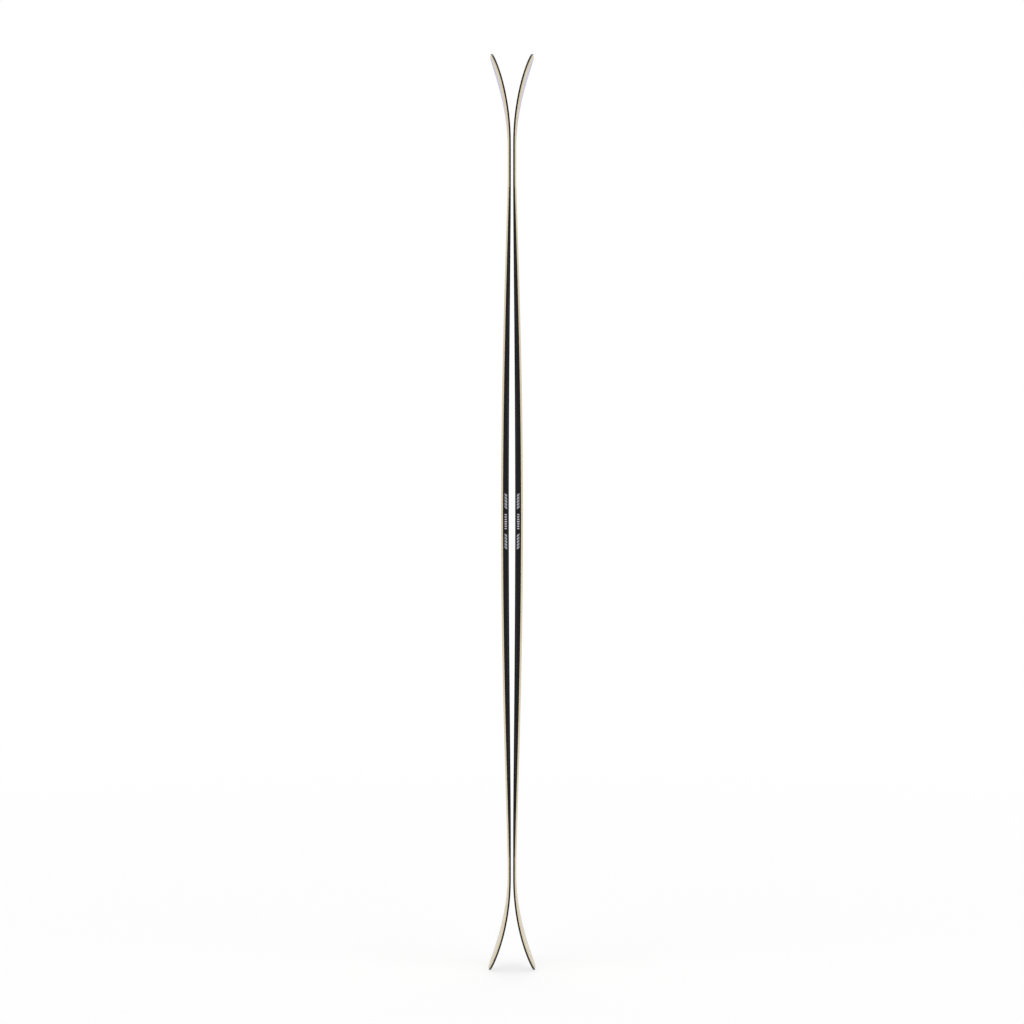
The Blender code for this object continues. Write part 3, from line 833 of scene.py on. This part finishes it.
class SKI_OT_steel_edges(SkiOperator, bpy.types.Operator):
    """Makes the ground steel edges with their flanges"""

    bl_idname = "ski.steel_edges"
    bl_label = "Steel edges"

    def finish(self, scene):
        return edge_steel(scene.ski_colours)

    def make(self, shape, finish, ski, facing):
        z = shape.sizes
        plan = shape.whole_plan()
        section = profile(
            plan, (z.edge_width, shape.flange_bottom), (z.edge_width, 0.0), (0.0, 0.0),
            (0.0, shape.edge_height), (shape.flange_inset, shape.edge_height),
            (shape.flange_inset, shape.flange_bottom))
        radii = [0, z.edge_round * 0.5, z.edge_round, z.edge_round, 0, 0]
        for hand, side in SIDES:
            piece = strip(f"{ski}_ground_edge_{hand}", shape, facing, plan, section, radii, side)
            settle(piece, ski, f"{ski}_steel_edge_{hand}", finish)


class SKI_OT_edge_rubbers(SkiOperator, bpy.types.Operator):
    """Makes the damping strips over the steel edges"""

    bl_idname = "ski.edge_rubbers"
    bl_label = "Edge rubbers"

    def finish(self, scene):
        return black_rubber(scene.ski_colours)

    def make(self, shape, finish, ski, facing):
        z = shape.sizes
        plan = shape.whole_plan()
        section = profile(
            plan, (shape.flange_inset, shape.rubber_bottom), (0.0, shape.rubber_bottom),
            (0.0, shape.rubber_top), (shape.flange_inset, shape.rubber_top))
        radii = [0, z.edge_round * 0.3, z.edge_round * 0.3, 0]
        for hand, side in SIDES:
            piece = strip(f"{ski}_damping_strip_{hand}", shape, facing, plan, section, radii, side)
            settle(piece, ski, f"{ski}_edge_rubber_{hand}", finish)


class SKI_OT_lower_laminates(SkiOperator, bpy.types.Operator):
    """Makes the glass fibre sheets between base and core"""

    bl_idname = "ski.lower_laminates"
    bl_label = "Lower laminates"

    def finish(self, scene):
        tint = scene.ski_colours.dark_fibre
        return glass_fibre("dark_glass_fibre", tint, DARK_STRANDS, lambda f: f.attribute(PLACE), 1, 0)

    def make(self, shape, finish, ski, facing):
        z = shape.sizes
        plan = shape.whole_plan()
        step = shape.flange_inset + z.glue
        section = profile(
            plan, (plan.half, shape.flange_bottom), (step, shape.flange_bottom),
            (step, shape.laminate_bottom), (0.0, shape.laminate_bottom), (0.0, shape.laminate_top),
            (plan.half, shape.laminate_top))
        radii = [0, 0, 0, z.edge_round * 0.5, z.edge_round * 0.5, 0]
        piece = sheet(f"{ski}_fibre_sheet", shape, facing, plan, section, radii)
        settle(piece, ski, f"{ski}_lower_laminate", finish)


class SKI_OT_running_bases(SkiOperator, bpy.types.Operator):
    """Makes the sintered running bases between the steel edges"""

    bl_idname = "ski.running_bases"
    bl_label = "Running bases"

    def finish(self, scene):
        return black_polyethylene(scene.ski_colours)

    def make(self, shape, finish, ski, facing):
        z = shape.sizes
        plan = shape.whole_plan()
        inset = z.edge_width + z.glue
        section = profile(
            plan, (plan.half, 0.0), (inset, 0.0), (inset, z.base_sheet), (plan.half, z.base_sheet))
        radii = [0, z.edge_round * 0.5, z.edge_round * 0.5, 0]
        piece = sheet(f"{ski}_sintered_base", shape, facing, plan, section, radii)
        settle(piece, ski, f"{ski}_running_base", finish)


class SKI_OT_inner_layers(SkiOperator, bpy.types.Operator):
    """Gives the layers inside the skis their finishes"""

    bl_idname = "ski.inner_layers"
    bl_label = "Inner layers"

    def finish(self, scene):
        colours = scene.ski_colours
        poplar = core_wood("poplar_wood_grain", colours.poplar, POPLAR_GRAIN, 260, 0.3)
        ash = core_wood("ash_wood_grain", colours.ash, ASH_GRAIN, 420, 0.38)
        tint = colours.clear_fibre
        fibre = glass_fibre("clear_glass_fibre", tint, CLEAR_STRANDS, Finish.object_place, 1, 2)
        spacer = spacer_plastic(colours)
        return {
            "core_centre": poplar, "core_inner_front": ash, "core_inner_back": ash,
            "core_outer_front": poplar, "core_outer_back": poplar, "tip_spacer": spacer,
            "tail_spacer": spacer, "binding_plate": plate_aluminium(colours), "upper_laminate": fibre}

    def make(self, shape, finish, ski, facing):
        for node, material in finish.items():
            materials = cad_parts[f"{ski}_{node}"].data.materials
            materials.clear()
            materials.append(material)


class SKI_OT_studio(bpy.types.Operator):
    """Makes the floor, the light and the camera"""

    bl_idname = "ski.studio"
    bl_label = "Studio"
    bl_options = {"REGISTER", "UNDO"}

    def execute(self, context):
        scene = context.scene
        studio = scene.ski_studio
        self.floor(studio)
        self.dark_screen()
        self.room(scene, studio)
        self.lamps(studio)
        self.camera(scene, studio)
        scene.view_settings.view_transform = "Standard"
        return {"FINISHED"}

    def floor(self, studio):
        """A disc: radius times the cosine and the sine of the angle, at height 0."""
        rings, spokes = 12, 64
        radius, turn = np.meshgrid(
            np.linspace(0, 1, rings + 1)[1:] ** 2 * studio.floor_radius,
            np.linspace(0, 2 * math.pi, spokes, endpoint=False), indexing="ij")
        faces = [face[::-1] for face in quads(radius)] + [list(range(spokes))]
        floor = mesh_object("studio_floor", radius * np.cos(turn), radius * np.sin(turn), radius * 0, faces)
        floor.data.materials.append(self.pale_floor(studio))

    def pale_floor(self, studio):
        """Matt paint that shows the shadow near the skis and turns white further out, for the camera and
        for what shines."""
        material = bpy.data.materials.new("pale_floor")
        f = Nodes(material, "Material")
        distance = f.node("VectorMath")
        distance.operation = "LENGTH"
        f.give(distance.inputs[0], f.object_place())
        white = f.rise(
            distance.outputs["Value"], studio.shadow_radius, studio.white_radius, studio.shadow_white, 1.0)
        paint = f.node("BsdfDiffuse", Color=studio.floor)
        f.blend(f.times(f.seen(), white), paint, f.node("Emission", Strength=1.0))
        return material

    def dark_screen(self):
        """The dark end of the room, which only shiny surfaces show: a grid of x and the distance along a
        path that runs over the floor, away from the pair, and then up behind the camera."""
        half_width, start, turn, reach = 9.0, 0.4, 7.0, 15.0
        x, path = np.meshgrid(
            np.linspace(-half_width, half_width, 7), np.linspace(0, reach, 16), indexing="ij")
        y = -np.minimum(path, turn) - start
        z = np.maximum(path - turn, 0.0) + 2 * MM
        screen = mesh_object("dark_screen", x, y, z, quads(x, closed=False))
        paint = Finish("dark_screen", Base_Color=(0.05, 0.05, 0.055), Roughness=1.0)
        screen.data.materials.append(paint.material)
        screen.visible_camera = screen.visible_diffuse = screen.visible_shadow = False
        screen.visible_transmission = screen.visible_volume_scatter = False

    def room(self, scene, studio):
        """A pale room: white where it is seen, and softer where it only lights."""
        scene.world = bpy.data.worlds.new("pale_room")
        w = Nodes(scene.world, "World")
        light, white = (
            w.node("Background", Color=(1.0, 1.0, 1.0), Strength=strength)
            for strength in (studio.room_light, 1.0))
        w.blend(w.seen(), light, white)

    def lamps(self, studio):
        """Wide soft lamps, each given by its direction round the pair, its height and its strength."""
        for name, round_deg, up_deg, strength in (
                ("lamp_left", -42, 38, 0.8), ("lamp_right", 42, 38, 0.8), ("lamp_behind", 180, 42, 0.5)):
            lamp = bpy.data.lights.new(name, "SUN")
            lamp.energy = strength
            lamp.angle = studio.lamp_angle
            holder = placed(name, lamp)
            holder.rotation_euler = (math.radians(90 - up_deg), 0.0, math.radians(round_deg))

    def camera(self, scene, studio):
        camera = bpy.data.cameras.new("front_camera")
        camera.lens = studio.lens
        camera.sensor_width = 36.0
        camera.clip_start, camera.clip_end = 0.1, 100.0
        holder = placed("front_camera", camera)
        holder.location = (0.0, -studio.camera_distance, studio.camera_height)
        holder.rotation_euler = (math.pi / 2, 0.0, 0.0)
        scene.camera = holder


PIECE_OPERATORS = (
    SKI_OT_running_bases, SKI_OT_steel_edges, SKI_OT_edge_rubbers, SKI_OT_lower_laminates, SKI_OT_sidewalls,
    SKI_OT_topsheets, SKI_OT_inner_layers, SKI_OT_studio)


class SKI_PT_skis(bpy.types.Panel):
    """Sizes, colours and pieces of the ski pair"""

    bl_idname = "SKI_PT_skis"
    bl_label = "Skis"
    bl_space_type = "VIEW_3D"
    bl_region_type = "UI"
    bl_category = "Skis"

    def draw(self, context):
        scene = context.scene
        for group in (scene.ski_sizes, scene.ski_colours, scene.ski_studio):
            box = self.layout.box()
            for name in group.__annotations__:
                box.prop(group, name)
        for operator in PIECE_OPERATORS:
            self.layout.operator(operator.bl_idname)


GROUPS = {"ski_sizes": SkiSizes, "ski_colours": SkiColours, "ski_studio": StudioSettings}
CLASSES = (*GROUPS.values(), *PIECE_OPERATORS, SKI_PT_skis)


def register():
    for each in CLASSES:
        bpy.utils.register_class(each)
    for name, group in GROUPS.items():
        setattr(bpy.types.Scene, name, bpy.props.PointerProperty(type=group))


def unregister():
    for name in GROUPS:
        delattr(bpy.types.Scene, name)
    for each in reversed(CLASSES):
        bpy.utils.unregister_class(each)


def main():
    register()
    bpy.ops.ski.running_bases()
    bpy.ops.ski.steel_edges()
    bpy.ops.ski.edge_rubbers()
    bpy.ops.ski.lower_laminates()
    bpy.ops.ski.sidewalls()
    bpy.ops.ski.topsheets()
    bpy.ops.ski.inner_layers()
    bpy.ops.ski.studio()


if __name__ == "__main__":
    main()
